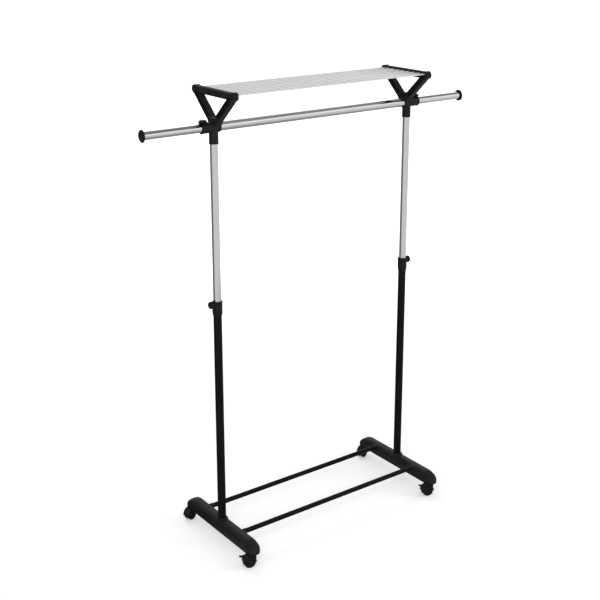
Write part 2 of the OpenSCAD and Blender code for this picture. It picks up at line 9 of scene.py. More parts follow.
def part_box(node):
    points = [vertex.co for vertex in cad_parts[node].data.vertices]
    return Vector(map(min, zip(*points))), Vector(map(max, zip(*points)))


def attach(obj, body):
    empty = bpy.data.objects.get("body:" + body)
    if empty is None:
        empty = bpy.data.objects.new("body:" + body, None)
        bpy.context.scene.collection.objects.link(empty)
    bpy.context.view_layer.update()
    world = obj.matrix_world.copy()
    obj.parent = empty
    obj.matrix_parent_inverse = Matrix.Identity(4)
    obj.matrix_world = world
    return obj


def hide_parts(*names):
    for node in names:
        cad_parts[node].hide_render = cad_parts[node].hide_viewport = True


mm = 0.001
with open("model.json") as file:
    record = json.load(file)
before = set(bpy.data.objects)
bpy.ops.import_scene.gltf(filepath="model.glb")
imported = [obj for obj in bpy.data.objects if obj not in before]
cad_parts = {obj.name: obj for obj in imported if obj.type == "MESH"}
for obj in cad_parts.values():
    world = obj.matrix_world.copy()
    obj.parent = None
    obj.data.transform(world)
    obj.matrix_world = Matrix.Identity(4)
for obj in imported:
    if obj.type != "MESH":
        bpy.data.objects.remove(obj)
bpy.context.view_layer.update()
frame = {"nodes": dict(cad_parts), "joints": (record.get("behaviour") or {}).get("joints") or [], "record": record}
record = frame["record"]
joints = {j["name"]: j for j in frame["joints"]}
bodyOf = {n: b for b, members in record["behaviour"]["bodies"].items() for n in members}
slotOf = {s["node"]: s["material_slot"] for s in record["subparts"]}
sides = {"left": -1, "right": 1}

# Camera

cameraView = {
    "place": (-2.522, -3.308, 2.389),  # metres
    "yaw": 36.49,  # degrees from +Y towards +X
    "tilt": 16.46,  # degrees down from level
    "lens": 66.61,
    "sensor": 36.0,
    "shift": -0.10,
    "farthest": 60.0,  # metres
}


def makeCamera(v):
    cameraData = bpy.data.cameras.new("rackCamera")
    cameraData.lens = v["lens"]
    cameraData.sensor_width = v["sensor"]
    cameraData.shift_y = v["shift"]
    cameraData.clip_end = v["farthest"]
    camera = bpy.data.objects.new("rackCamera", cameraData)
    bpy.context.collection.objects.link(camera)
    camera.location = v["place"]
    camera.rotation_euler = (math.radians(90 - v["tilt"]), 0, math.radians(-v["yaw"]))
    bpy.context.scene.camera = camera


makeCamera(cameraView)

# Shader helpers


class Tree:
    # Makes nodes and links their sockets by name, or by number after a #

    def __init__(self, tree):
        self.tree = tree

    def add(self, kind, settings=None, **values):
        node = self.tree.nodes.new(kind)
        for key, value in (settings or {}).items():
            setattr(node, key, value)
        for key, value in values.items():
            self.feed(node, key.replace("_", " "), value)
        return node

    def feed(self, node, socket, value):
        target = node.inputs[int(socket[1:])] if socket[0] == "#" else node.inputs[socket]
        if isinstance(value, bpy.types.NodeSocket):
            self.tree.links.new(value, target)
        elif isinstance(value, bpy.types.Node):
            self.tree.links.new(value.outputs[0], target)
        else:
            target.default_value = value

    def maths(self, operation, a, b=0.0, clamp=False):
        node = self.add("ShaderNodeMath", {"operation": operation, "use_clamp": clamp})
        self.feed(node, "#0", a)
        self.feed(node, "#1", b)
        return node.outputs[0]

    def times(self, a, b, clamp=False):
        return self.maths("MULTIPLY", a, b, clamp)

    def blend(self, factor, a, b):
        node = self.add("ShaderNodeMix", {"data_type": "RGBA", "blend_type": "MIX"})
        self.feed(node, "#0", factor)
        self.feed(node, "#6", a)
        self.feed(node, "#7", b)
        return node.outputs[2]

    def between(self, value, fromLow, fromHigh, toLow, toHigh):
        node = self.add("ShaderNodeMapRange", {"interpolation_type": "SMOOTHSTEP"})
        for place, item in enumerate((value, fromLow, fromHigh, toLow, toHigh)):
            self.feed(node, f"#{place}", item)
        return node.outputs[0]


def makeGroup(name, inputs, outputs):
    group = bpy.data.node_groups.new(name, "ShaderNodeTree")
    for label, kind, value in inputs:
        socket = group.interface.new_socket(label, in_out="INPUT", socket_type="NodeSocket" + kind)
        if value is not None:
            socket.default_value = value
    for label, kind in outputs:
        group.interface.new_socket(label, in_out="OUTPUT", socket_type="NodeSocket" + kind)
    t = Tree(group)
    return group, t, t.add("NodeGroupInput").outputs, t.add("NodeGroupOutput")


# Fine stipple of a moulding or a powder coat: a slow tone and a fine height
def makeStipple():
    group, t, given, out = makeGroup(
        "stipple",
        [("Vector", "Vector", None), ("Grain", "Float", 900.0), ("Cloud", "Float", 14.0)],
        [("Tone", "Float"), ("Height", "Float")],
    )
    place, grain = given["Vector"], given["Grain"]
    cloud = t.add("ShaderNodeTexNoise", Vector=place, Scale=given["Cloud"], Detail=5.0, Roughness=0.6)
    pits = t.add("ShaderNodeTexVoronoi", {"feature": "SMOOTH_F1"}, Vector=place, Scale=grain)
    fine = t.add("ShaderNodeTexNoise", Vector=place, Scale=grain, Detail=3.0)
    t.feed(out, "Tone", t.between(cloud.outputs["Fac"], 0.3, 0.7, 0.0, 1.0))
    pitted, finer = t.times(pits.outputs["Distance"], 0.7), t.times(fine.outputs["Fac"], 0.5)
    t.feed(out, "Height", t.maths("ADD", pitted, finer))
    return group


# Rubbed edges: where the rounded normal leaves the true one, broken up by noise
def makeEdgeRub():
    group, t, given, out = makeGroup(
        "edgeRub",
        [("Vector", "Vector", None), ("Radius", "Float", 0.0012), ("Amount", "Float", 0.5)],
        [("Mask", "Float")],
    )
    rounded = t.add("ShaderNodeBevel", {"samples": 4}, Radius=given["Radius"])
    flat = t.add("ShaderNodeNewGeometry")
    dot = t.add("ShaderNodeVectorMath", {"operation": "DOT_PRODUCT"})
    t.feed(dot, "#0", rounded.outputs["Normal"])
    t.feed(dot, "#1", flat.outputs["Normal"])
    edge = t.between(t.maths("SUBTRACT", 1.0, dot.outputs["Value"]), 0.02, 0.25, 0.0, 1.0)
    patch = t.add("ShaderNodeTexNoise", Vector=given["Vector"], Scale=60.0, Detail=6.0, Roughness=0.7)
    broken = t.between(patch.outputs["Fac"], 0.42, 0.66, 0.0, 1.0)
    t.feed(out, "Mask", t.times(t.times(edge, broken), given["Amount"], True))
    return group


# Dust that settles on what faces up
def makeDust():
    group, t, given, out = makeGroup(
        "settledDust", [("Vector", "Vector", None), ("Amount", "Float", 0.2)], [("Mask", "Float")]
    )
    up = t.add("ShaderNodeSeparateXYZ", Vector=t.add("ShaderNodeNewGeometry").outputs["Normal"])
    facing = t.between(up.outputs["Z"], 0.35, 1.0, 0.0, 1.0)
    patch = t.add("ShaderNodeTexNoise", Vector=given["Vector"], Scale=38.0, Detail=8.0, Roughness=0.72)
    cover = t.between(patch.outputs["Fac"], 0.36, 0.72, 0.15, 1.0)
    t.feed(out, "Mask", t.times(t.times(facing, cover), given["Amount"], True))
    return group


# Plated or drawn metal: faint lines along the stock and soft handling marks
def makeDrawn():
    group, t, given, out = makeGroup(
        "drawnMetal",
        [("Along", "Vector", None), ("Vector", "Vector", None), ("Marks", "Float", 9.0)],
        [("Lines", "Float"), ("Smudge", "Float"), ("Height", "Float")],
    )
    lines = t.add("ShaderNodeTexNoise", Vector=given["Along"], Scale=1.0, Detail=4.0, Roughness=0.6)
    marks = t.add(
        "ShaderNodeTexNoise", Vector=given["Vector"], Scale=given["Marks"],
        Detail=7.0, Roughness=0.65, Distortion=0.4,
    )
    t.feed(out, "Lines", t.between(lines.outputs["Fac"], 0.3, 0.7, 0.0, 1.0))
    t.feed(out, "Smudge", t.between(marks.outputs["Fac"], 0.45, 0.75, 0.0, 1.0))
    t.feed(out, "Height", lines.outputs["Fac"])
    return group


stipple, edgeRub = makeStipple(), makeEdgeRub()
settledDust, drawnMetal = makeDust(), makeDrawn()


def startMaterial(name, rgb):
    material = bpy.data.materials.new(name)
    material.use_nodes = True
    material.diffuse_color = (*rgb, 1)
    material.node_tree.nodes.clear()
    t = Tree(material.node_tree)
    shader = t.add("ShaderNodeBsdfPrincipled")
    t.feed(t.add("ShaderNodeOutputMaterial"), "Surface", shader)
    place = t.add("ShaderNodeTexCoord").outputs["Object"]
    return material, t, shader, place


def useGroup(t, group, **values):
    node = t.add("ShaderNodeGroup", {"node_tree": group})
    for key, value in values.items():
        t.feed(node, key, value)
    return node.outputs


def addBump(t, shader, look, height):
    bump = t.add("ShaderNodeBump", Strength=look["bump"], Distance=look["bumpDepth"], Height=height)
    t.feed(shader, "Normal", bump)


# How much duller dust and smudges make a surface, and how much smoother rubbing makes it
wearGloss = {"dust": 0.25, "rub": 0.12, "dustOnMetal": 0.3, "smudge": 0.3}


# Moulded plastic and powder coat
def makeMoulded(name, look):
    material, t, shader, place = startMaterial(name, look["light"])
    grain = useGroup(t, stipple, Vector=place, Grain=look["grain"], Cloud=look["cloud"])
    rub = useGroup(t, edgeRub, Vector=place, Radius=look["rubWidth"], Amount=look["rub"])["Mask"]
    dust = useGroup(t, settledDust, Vector=place, Amount=look["dust"])["Mask"]
    colour = t.blend(grain["Tone"], (*look["dark"], 1), (*look["light"], 1))
    colour = t.blend(rub, colour, (*look["rubbed"], 1))
    colour = t.blend(dust, colour, (*look["dusty"], 1))
    t.feed(shader, "Base Color", colour)
    rough = t.between(grain["Tone"], 0.0, 1.0, *look["rough"])
    rough = t.maths("ADD", rough, t.times(dust, wearGloss["dust"]))
    t.feed(shader, "Roughness", t.maths("SUBTRACT", rough, t.times(rub, wearGloss["rub"]), True))
    shader.inputs["Specular IOR Level"].default_value = look["gloss"]
    addBump(t, shader, look, grain["Height"])
    return material


# Bright metal, with the pattern drawn out along the axis where stretch is small
def makeMetal(name, look, stretch):
    material, t, shader, place = startMaterial(name, look["light"])
    along = t.add("ShaderNodeMapping", Vector=place, Scale=stretch)
    drawn = useGroup(t, drawnMetal, Along=along.outputs[0], Vector=place, Marks=look["marks"])
    dust = useGroup(t, settledDust, Vector=place, Amount=look["dust"])["Mask"]
    colour = t.blend(drawn["Lines"], (*look["dark"], 1), (*look["light"], 1))
    colour = t.blend(t.times(drawn["Smudge"], look["smudge"]), colour, (*look["dark"], 1))
    t.feed(shader, "Base Color", t.blend(dust, colour, (*look["dusty"], 1)))
    shader.inputs["Metallic"].default_value = look["metal"]
    rough = t.between(drawn["Lines"], 0.0, 1.0, *look["rough"])
    rough = t.maths("ADD", rough, t.times(drawn["Smudge"], look["smudge"] * wearGloss["smudge"]))
    t.feed(shader, "Roughness", t.maths("ADD", rough, t.times(dust, wearGloss["dustOnMetal"]), True))
    addBump(t, shader, look, drawn["Height"])
    return material


# Colours from dark to light, what rubbing and dust show, and the pattern's scale.
# rubWidth and bumpDepth are in metres.
looks = {
    "blackPlastic": {
        "dark": (0.0086, 0.0072, 0.0060), "light": (0.0158, 0.0135, 0.0115),
        "rubbed": (0.045, 0.044, 0.042),
        "dusty": (0.11, 0.105, 0.10), "rough": (0.36, 0.48), "gloss": 0.20, "grain": 1100.0, "cloud": 16.0,
        "rubWidth": 0.0011, "rub": 0.35, "dust": 0.07, "bump": 0.35, "bumpDepth": 0.00012,
    },
    "powderCoat": {
        "dark": (0.0036, 0.0034, 0.0032), "light": (0.0062, 0.0060, 0.0057), "rubbed": (0.05, 0.05, 0.05),
        "dusty": (0.10, 0.10, 0.095), "rough": (0.25, 0.34), "gloss": 0.14, "grain": 700.0, "cloud": 9.0,
        "rubWidth": 0.0008, "rub": 0.25, "dust": 0.05, "bump": 0.22, "bumpDepth": 0.00010,
    },
    "wheelBlack": {
        "dark": (0.0060, 0.0060, 0.0060), "light": (0.0110, 0.0107, 0.0104), "rubbed": (0.07, 0.068, 0.065),
        "dusty": (0.16, 0.15, 0.14), "rough": (0.34, 0.50), "gloss": 0.22, "grain": 800.0, "cloud": 40.0,
        "rubWidth": 0.0012, "rub": 0.45, "dust": 0.10, "bump": 0.3, "bumpDepth": 0.00012,
    },
    "palePlastic": {
        "dark": (0.60, 0.60, 0.56), "light": (0.72, 0.72, 0.69), "rubbed": (0.76, 0.76, 0.74),
        "dusty": (0.45, 0.44, 0.42), "rough": (0.38, 0.50), "gloss": 0.5, "grain": 700.0, "cloud": 30.0,
        "rubWidth": 0.0008, "rub": 0.4, "dust": 0.06, "bump": 0.2, "bumpDepth": 0.00010,
    },
    "chrome": {
        "dark": (0.78, 0.79, 0.80), "light": (0.85, 0.86, 0.87), "dusty": (0.45, 0.45, 0.44),
        "marks": 11.0, "metal": 1.0, "rough": (0.055, 0.075),
        "smudge": 0.14, "dust": 0.04, "bump": 0.012, "bumpDepth": 0.00004,
    },
    "platedWire": {
        "dark": (0.88, 0.88, 0.87), "light": (0.96, 0.96, 0.95), "dusty": (0.5, 0.5, 0.48),
        "marks": 14.0, "metal": 0.55, "rough": (0.26, 0.36),
        "smudge": 0.08, "dust": 0.03, "bump": 0.05, "bumpDepth": 0.00004,
    },
    "zincSteel": {
        "dark": (0.42, 0.43, 0.44), "light": (0.62, 0.63, 0.65), "dusty": (0.35, 0.34, 0.33),
        "marks": 60.0, "metal": 1.0, "rough": (0.26, 0.42),
        "smudge": 0.5, "dust": 0.08, "bump": 0.2, "bumpDepth": 0.00008,
    },
}

stretches = {"upright": (900.0, 900.0, 5.0), "level": (5.0, 900.0, 900.0), "even": (300.0, 300.0, 300.0)}

blackPlastic = makeMoulded("blackPlastic", looks["blackPlastic"])
powderCoat = makeMoulded("powderCoat", looks["powderCoat"])
wheelBlack = makeMoulded("wheelBlack", looks["wheelBlack"])
palePlastic = makeMoulded("palePlastic", looks["palePlastic"])
chromeUpright = makeMetal("chromeUpright", looks["chrome"], stretches["upright"])
chromeLevel = makeMetal("chromeLevel", looks["chrome"], stretches["level"])
platedWire = makeMetal("platedWire", looks["platedWire"], stretches["level"])
zincSteel = makeMetal("zincSteel", looks["zincSteel"], stretches["even"])
print("materials made")

# Mesh helpers


def bevelEdges(bm, edges, width, segments=2):
    bmesh.ops.bevel(
        bm, geom=edges, offset=width, offset_type="OFFSET", segments=segments, profile=0.5,
        affect="EDGES", clamp_overlap=True, material=-1,
    )


def softenEdges(bm, width, segments=2, angle=28):
    sharp = math.radians(angle)
    bevelEdges(bm, [e for e in bm.edges if e.is_manifold and e.calc_face_angle(0) > sharp], width, segments)


def placing(centre, direction=(0, 0, 1)):
    # The matrix that turns +Z into direction and moves the origin to centre
    turn = Vector((0, 0, 1)).rotation_difference(Vector(direction).normalized())
    return Matrix.Translation(Vector(centre)) @ turn.to_matrix().to_4x4()


# Turns a profile of (radius, along) points in mm about Z. A closed profile is a ring.
def addTurned(bm, profile, place, steps=64, closed=False, soften=0.0, segments=2):
    piece = bmesh.new()
    verts = [piece.verts.new((r * mm, 0, z * mm)) for r, z in profile]
    pairs = list(zip(verts, verts[1:])) + ([(verts[-1], verts[0])] if closed else [])
    edges = [piece.edges.new(pair) for pair in pairs]
    bmesh.ops.spin(
        piece, geom=verts + edges, cent=(0, 0, 0), axis=(0, 0, 1), dvec=(0, 0, 0),
        angle=2 * math.pi, steps=steps, use_merge=True, use_duplicate=False,
    )
    bmesh.ops.remove_doubles(piece, verts=piece.verts[:], dist=1e-7)
    # a profile that runs along the axis leaves a bare edge there
    bmesh.ops.delete(piece, geom=[e for e in piece.edges if e.is_wire], context="EDGES")
    bmesh.ops.recalc_face_normals(piece, faces=piece.faces[:])
    if soften:
        softenEdges(piece, soften * mm, segments)
    bmesh.ops.transform(piece, matrix=place, verts=piece.verts[:])
    join(bm, piece)


def join(bm, piece):
    mesh = bpy.data.meshes.new("joining")
    piece.to_mesh(mesh)
    piece.free()
    bm.from_mesh(mesh)
    bpy.data.meshes.remove(mesh)


def addBlock(bm, low, high, soften=0.0, place=None, segments=2):
    piece = bmesh.new()
    bmesh.ops.create_cube(piece, size=1)
    low, high = Vector(low) * mm, Vector(high) * mm
    bmesh.ops.scale(piece, vec=high - low, verts=piece.verts[:])
    bmesh.ops.translate(piece, vec=(low + high) / 2, verts=piece.verts[:])
    if soften:
        softenEdges(piece, soften * mm, segments)
    if place is not None:
        bmesh.ops.transform(piece, matrix=place, verts=piece.verts[:])
    join(bm, piece)


bracketCorner = {"radius": 15.5, "pastRod": 3.5, "merge": 0.3}


# Draws a bracket's arm ends back inside the round corners at the ends of its rail
def roundCorners(piece, node, v):
    rods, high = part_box("shelf_rods"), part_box(node)[1]
    radius = v["radius"] * mm
    cornerY = rods[1].y - (rods[1].z - rods[0].z) / 2 + v["pastRod"] * mm
    cornerZ = high.z - radius
    for x in piece.verts:
        away = Vector((0, abs(x.co.y) - cornerY, x.co.z - cornerZ))
        if away.y > 0 and away.length > radius:
            away *= radius / away.length
            x.co.y = math.copysign(cornerY + away.y, x.co.y)
            x.co.z = cornerZ + away.z
    bmesh.ops.remove_doubles(piece, verts=piece.verts[:], dist=v["merge"] * mm)
    bmesh.ops.dissolve_degenerate(piece, dist=1e-5, edges=piece.edges[:])


# A copy of a CAD node with its triangles merged into whole faces and its edges softened
def addCopy(bm, node, soften):
    piece = bmesh.new()
    piece.from_mesh(frame["nodes"][node].data)
    bmesh.ops.remove_doubles(piece, verts=piece.verts[:], dist=2e-6)
    bmesh.ops.dissolve_limit(
        piece, angle_limit=math.radians(0.6), use_dissolve_boundaries=False,
        verts=piece.verts[:], edges=piece.edges[:],
    )
    if node.startswith("shelf_bracket"):
        roundCorners(piece, node, bracketCorner)
    softenEdges(piece, soften * mm, angle=30)
    join(bm, piece)


# Makes the object that stands for a CAD node, on the node's body and with the given material, and hides the node
def finishPiece(bm, node, ending, material, smooth=35):
    name = node + "_" + ending
    mesh = bpy.data.meshes.new(name)
    bm.to_mesh(mesh)
    bm.free()
    mesh.materials.append(material)
    mesh.shade_smooth()
    mesh.set_sharp_from_angle(angle=math.radians(smooth))
    piece = bpy.data.objects.new(name, mesh)
    bpy.context.collection.objects.link(piece)
    even = piece.modifiers.new("evenNormals", "WEIGHTED_NORMAL")
    even.keep_sharp = True
    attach(piece, bodyOf[node])
    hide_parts(node)


# Tubes and rods

tubes = {
    "lower_post_left": {"wall": 0.8, "lip": 0.3, "material": powderCoat},
    "lower_post_right": {"wall": 0.8, "lip": 0.3, "material": powderCoat},
    "bottom_bar_front": {"wall": 1.0, "lip": 0.3, "material": powderCoat},
    "bottom_bar_rear": {"wall": 1.0, "lip": 0.3, "material": powderCoat},
    "upper_post_left": {"wall": 1.0, "lip": 0.4, "material": chromeUpright},
    "upper_post_right": {"wall": 1.0, "lip": 0.4, "material": chromeUpright},
    "hanging_bar": {"wall": 1.2, "lip": 0.4, "material": chromeLevel},
    "extension_rod_left": {"wall": 1.0, "lip": 0.4, "material": chromeLevel},
    "extension_rod_right": {"wall": 1.0, "lip": 0.4, "material": chromeLevel},
}


def makeTube(node, v):
    low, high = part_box(node)
    size = high - low
    axis = max(range(3), key=lambda k: size[k])
    radius = size[(axis + 1) % 3] / 2 / mm
    length = size[axis] / mm
    start = (low + high) / 2
    start[axis] = low[axis]
    direction = [1.0 if k == axis else 0.0 for k in range(3)]
    inner = radius - v["wall"]
    bm = bmesh.new()
    addTurned(
        bm, [(radius, 0), (radius, length), (inner, length), (inner, 0)], placing(start, direction),
        steps=80, closed=True, soften=v["lip"],
    )
    finishPiece(bm, node, "tube", v["material"])


for node, tube in tubes.items():
    makeTube(node, tube)

shelfRods = {"count": 9, "nose": 0.6}


def makeShelfRods(v):
    low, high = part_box("shelf_rods")
    radius = (high.z - low.z) / 2
    bm = bmesh.new()
    for k in range(v["count"]):
        y = low.y + radius + (high.y - low.y - 2 * radius) * k / (v["count"] - 1)
        r, length = radius / mm, (high.x - low.x) / mm
        addTurned(
            bm, [(0, 0), (r, 0), (r, length), (0, length)],
            placing((low.x, y, low.z + radius), (1, 0, 0)), steps=24, soften=v["nose"],
        )
    finishPiece(bm, "shelf_rods", "bright", platedWire)


makeShelfRods(shelfRods)
print("tubes and rods made")

# Feet


# One skin of the foot: an arch drawn out along Y and scaled into the nose at each end.
# The outer skin has no inset, and the inner skin is inset by the wall.
def drawFootSkin(bm, v, low, high, inset):
    centreX = (low.x + high.x) / 2
    halfWidth = (high.x - low.x) / 2 / mm - inset
    rise = (high.z - low.z) / mm
    endZ = rise - v["endRound"]
    endRound = v["endRound"] - inset
    endY = high.y / mm - math.sqrt(v["endRound"] ** 2 - endZ ** 2)
    tip = endY + math.sqrt(endRound ** 2 - endZ ** 2) - v["tipShort"]
    planRound = v["planRound"] - inset
    planStart = high.y / mm - v["planRound"]
    rise -= inset

    def shapeAt(y):
        tall = rise if y <= endY else endZ + math.sqrt(max(endRound ** 2 - (y - endY) ** 2, 0))
        wide = halfWidth
        if y > planStart:
            wide += math.sqrt(max(planRound ** 2 - (y - planStart) ** 2, 0)) - planRound
        return wide / halfWidth, max(tall, v["tipTall"]) / rise

    corners = [(-halfWidth, 0), (-halfWidth, rise), (halfWidth, rise), (halfWidth, 0)]
    verts = [bm.verts.new((x * mm, 0, z * mm)) for x, z in corners]
    for pair in zip(verts, verts[1:]):
        bm.edges.new(pair)
    known = set(bm.verts) - set(verts)
    bmesh.ops.bevel(
        bm, geom=verts[1:3], offset=(v["topRound"] - inset) * mm, offset_type="OFFSET",
        segments=v["topSteps"], profile=0.5, affect="VERTICES", clamp_overlap=True, material=-1,
    )
    ring = [x for x in bm.verts if x not in known]
    arch = {x: (x.co.x, x.co.z) for x in ring}
    edges = list({e for x in ring for e in x.link_edges})
    turns = [math.pi / 2 * k / v["noseSteps"] for k in range(1, v["noseSteps"] + 1)]
    nose = [endY + (tip - endY) * math.sin(turn) for turn in turns]
    half = v["straightSteps"]
    straight = [endY * k / half for k in range(-half, half + 1)]
    stations = [-y for y in reversed(nose)] + straight + nose
    firstEdges = edges
    for k, y in enumerate(stations):
        if k:
            made = bmesh.ops.extrude_edge_only(bm, edges=edges)["geom"]
            fresh = {g for g in made if isinstance(g, bmesh.types.BMVert)}
            grown = {}
            for x in fresh:
                source = next(e.other_vert(x) for e in x.link_edges if e.other_vert(x) in arch)
                grown[x] = arch[source]
            arch = grown
            edges = [g for g in made if isinstance(g, bmesh.types.BMEdge) and set(g.verts) <= fresh]
        wide, tall = shapeAt(abs(y))
        for x, (px, pz) in arch.items():
            x.co = Vector((centreX + px * wide, y * mm, low.z + pz * tall))
    for ends, way in ((firstEdges, -1), (edges, 1)):
        ring = list({x for e in ends for x in e.verts})
        bmesh.ops.pointmerge(bm, verts=ring, merge_co=Vector((centreX, way * tip * mm, low.z)))


# The flared socket that rises round the post
def addPostSocket(bm, postX, top, v):
    bore, rise, deep, w = v["postBore"], v["socketRise"], v["socketDeep"], v["socketWall"]
    flare = [
        (bore, -deep), (bore + w, -deep), (bore + w, -1.2), (bore + w - 1.6, 0.5), (bore + w - 3.2, 1.6),
        (bore + w - 4.1, 3.2), (bore + w - 4.6, rise), (bore, rise),
    ]
    place = placing((postX, 0, top))
    addTurned(bm, flare, place, steps=72, closed=True, soften=0.7, segments=3)


# The sleeve that each bottom bar enters, with a slightly wider mouth
def addBarSleeves(bm, side, postX, v):
    inner = -sides[side]
    bore, skin, deep = v["barBore"], v["barSleeve"], v["sleeveDeep"]
    lip = skin + v["sleeveLip"]
    sleeve = [(bore, 0), (lip - 0.5, 0), (lip, 1.0), (lip, 3.0), (skin, 5), (skin, deep), (bore, deep)]
    for name in ("bottom_bar_front", "bottom_bar_rear"):
        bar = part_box(name)
        axis = (bar[0] + bar[1]) / 2
        mouth = (postX + inner * v["sleeveReach"] * mm, axis.y, axis.z)
        addTurned(bm, sleeve, placing(mouth, (-inner, 0, 0)), steps=48, closed=True, soften=0.5)


# Caster bosses and cross ribs inside the foot
def addInsides(bm, side, postX, low, v):
    centre = Matrix.Translation((postX, 0, low.z))
    bore, skin, (start, end) = v["casterBore"], v["casterBoss"], v["bossSpan"]
    boss = [(bore, start), (skin, start), (skin, end), (bore, end)]
    halfWide, halfThick, (ribLow, ribHigh) = v["ribHalf"], v["ribThick"] / 2, v["ribSpan"]
    for way, name in ((-1, "front_"), (1, "rear_")):
        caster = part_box("caster_stem_" + name + side)
        casterY = (caster[0].y + caster[1].y) / 2
        addTurned(bm, boss, placing((postX, casterY, low.z)), steps=40, closed=True, soften=0.6)
        for y in v["ribs"]:
            ribStart = (-halfWide, way * y - halfThick, ribLow)
            ribEnd = (halfWide, way * y + halfThick, ribHigh)
            addBlock(bm, ribStart, ribEnd, soften=0.3, place=centre)


def makeFoot(side, v):
    node = "foot_" + side
    low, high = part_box(node)
    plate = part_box("foot_plate_" + side)
    postX = (plate[0].x + plate[1].x) / 2
    # the post's socket and the bars' sleeves stand outside the moulding, so its own box is worked out
    top = high.z - v["socketRise"] * mm
    low = Vector((postX - v["width"] / 2 * mm, low.y, low.z))
    high = Vector((postX + v["width"] / 2 * mm, high.y, top))
    bm = bmesh.new()
    drawFootSkin(bm, v, low, high, 0)
    drawFootSkin(bm, v, low, high, v["wall"])
    bmesh.ops.bridge_loops(bm, edges=[e for e in bm.edges if e.is_boundary])
    bmesh.ops.recalc_face_normals(bm, faces=bm.faces[:])
    rim = [
        e for e in bm.edges
        if e.is_manifold and all(abs(x.co.z - low.z) < 1e-6 for x in e.verts) and e.calc_face_angle(0) > 0.9
    ]
    bevelEdges(bm, rim, v["rimRound"] * mm)
    addPostSocket(bm, postX, top, v)
    addBarSleeves(bm, side, postX, v)
    addInsides(bm, side, postX, low, v)
    finishPiece(bm, node, "moulding", blackPlastic, smooth=40)


foot = {
    "width": 54.0, "topRound": 20.0, "endRound": 60.0, "planRound": 26.5, "wall": 2.6, "rimRound": 0.6,
    "topSteps": 12, "noseSteps": 16, "straightSteps": 6, "tipShort": 0.05, "tipTall": 0.3,
    "postBore": 16.05, "socketWall": 8.2, "socketRise": 6.0, "socketDeep": 26.0,
    "barBore": 9.8, "barSleeve": 10.9, "sleeveLip": 0.9, "sleeveReach": 31.0, "sleeveDeep": 40.0,
    "casterBore": 5.6, "casterBoss": 10.0, "bossSpan": (2.5, 14.0),
    "ribs": (35.0, 80.0, 160.0), "ribHalf": 22.0, "ribThick": 2.0, "ribSpan": (10.6, 34.0),
}
for side in sides:
    makeFoot(side, foot)
print("feet made")

# Clamp collars and their knobs

collar = {
    "taper": 8.0, "waist": 0.8, "rim": 7.0, "rimOut": 0.2, "round": 0.9,
    "play": 0.05, "slidePlay": 0.3, "lipDeep": 4.0,
    "boss": 10.0, "bossFoot": 2.2, "bossBore": 4.0, "bossStart": 15.4,
}


def makeCollar(side, v):
    node = "collar_" + side
    low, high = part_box(node)
    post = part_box("lower_post_" + side)
    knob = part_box("height_knob_" + side)
    centre = (post[0] + post[1]) / 2
    bore = (post[1].x - post[0].x) / 2 / mm + v["play"]
    bodyR = (high.y - low.y) / 2 / mm
    tall = (high.z - low.z) / mm
    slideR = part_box("upper_post_" + side)[1].y / mm + v["slidePlay"]
    waistR, rimR, rimZ, lipZ = bodyR - v["waist"], bodyR + v["rimOut"], tall - v["rim"], tall - v["lipDeep"]
    body = [
        (bore, 0), (bore + 1.45, 0), (bodyR - 1.6, v["taper"]), (waistR, v["taper"] + 5),
        (waistR, rimZ - 1), (rimR, rimZ), (rimR, tall - 2.4), (bodyR - 2, tall),
        (slideR, tall), (slideR, lipZ), (bore, lipZ),
    ]
    bm = bmesh.new()
    place = placing((centre.x, 0, low.z))
    addTurned(bm, body, place, steps=80, closed=True, soften=v["round"], segments=3)
    out = sides[side]
    knobZ = (knob[0].z + knob[1].z) / 2
    reach = abs((knob[0].x if out > 0 else knob[1].x) - centre.x) / mm - 0.3
    skin, footR, start = v["boss"], v["boss"] + v["bossFoot"], v["bossStart"]
    boss = [
        (v["bossBore"], start), (footR, start), (skin + 1.0, bodyR), (skin, bodyR + 1.6),
        (skin - 0.4, reach), (v["bossBore"], reach),
    ]
    place = placing((centre.x, 0, knobZ), (out, 0, 0))
    addTurned(bm, boss, place, steps=56, closed=True, soften=0.6, segments=3)
    finishPiece(bm, node, "moulding", blackPlastic)


for side in sides:
    makeCollar(side, collar)

# Mouldings whose CAD shape is right get softened edges and, where they have them, raised details

softened = {
    "height_knob": 0.7, "lock_knob": 0.7, "bar_connector": 1.0, "shelf_bracket": 0.6,
    "caster_hood_front": 0.6, "caster_hood_rear": 0.6, "brake_lever_front": 0.5,
}
connectorRings = {
    "postWall": 2.9, "barWall": 3.6, "play": 0.06, "rodPlay": 0.3, "innerEnd": 22.0, "round": 0.7,
}
leverGrip = {
    "lean": 16.0,  # degrees
    "along": (8.0, 11.0, 14.0), "half": (0.7, 4.6), "height": (2.2, 3.4), "round": 0.45,
}


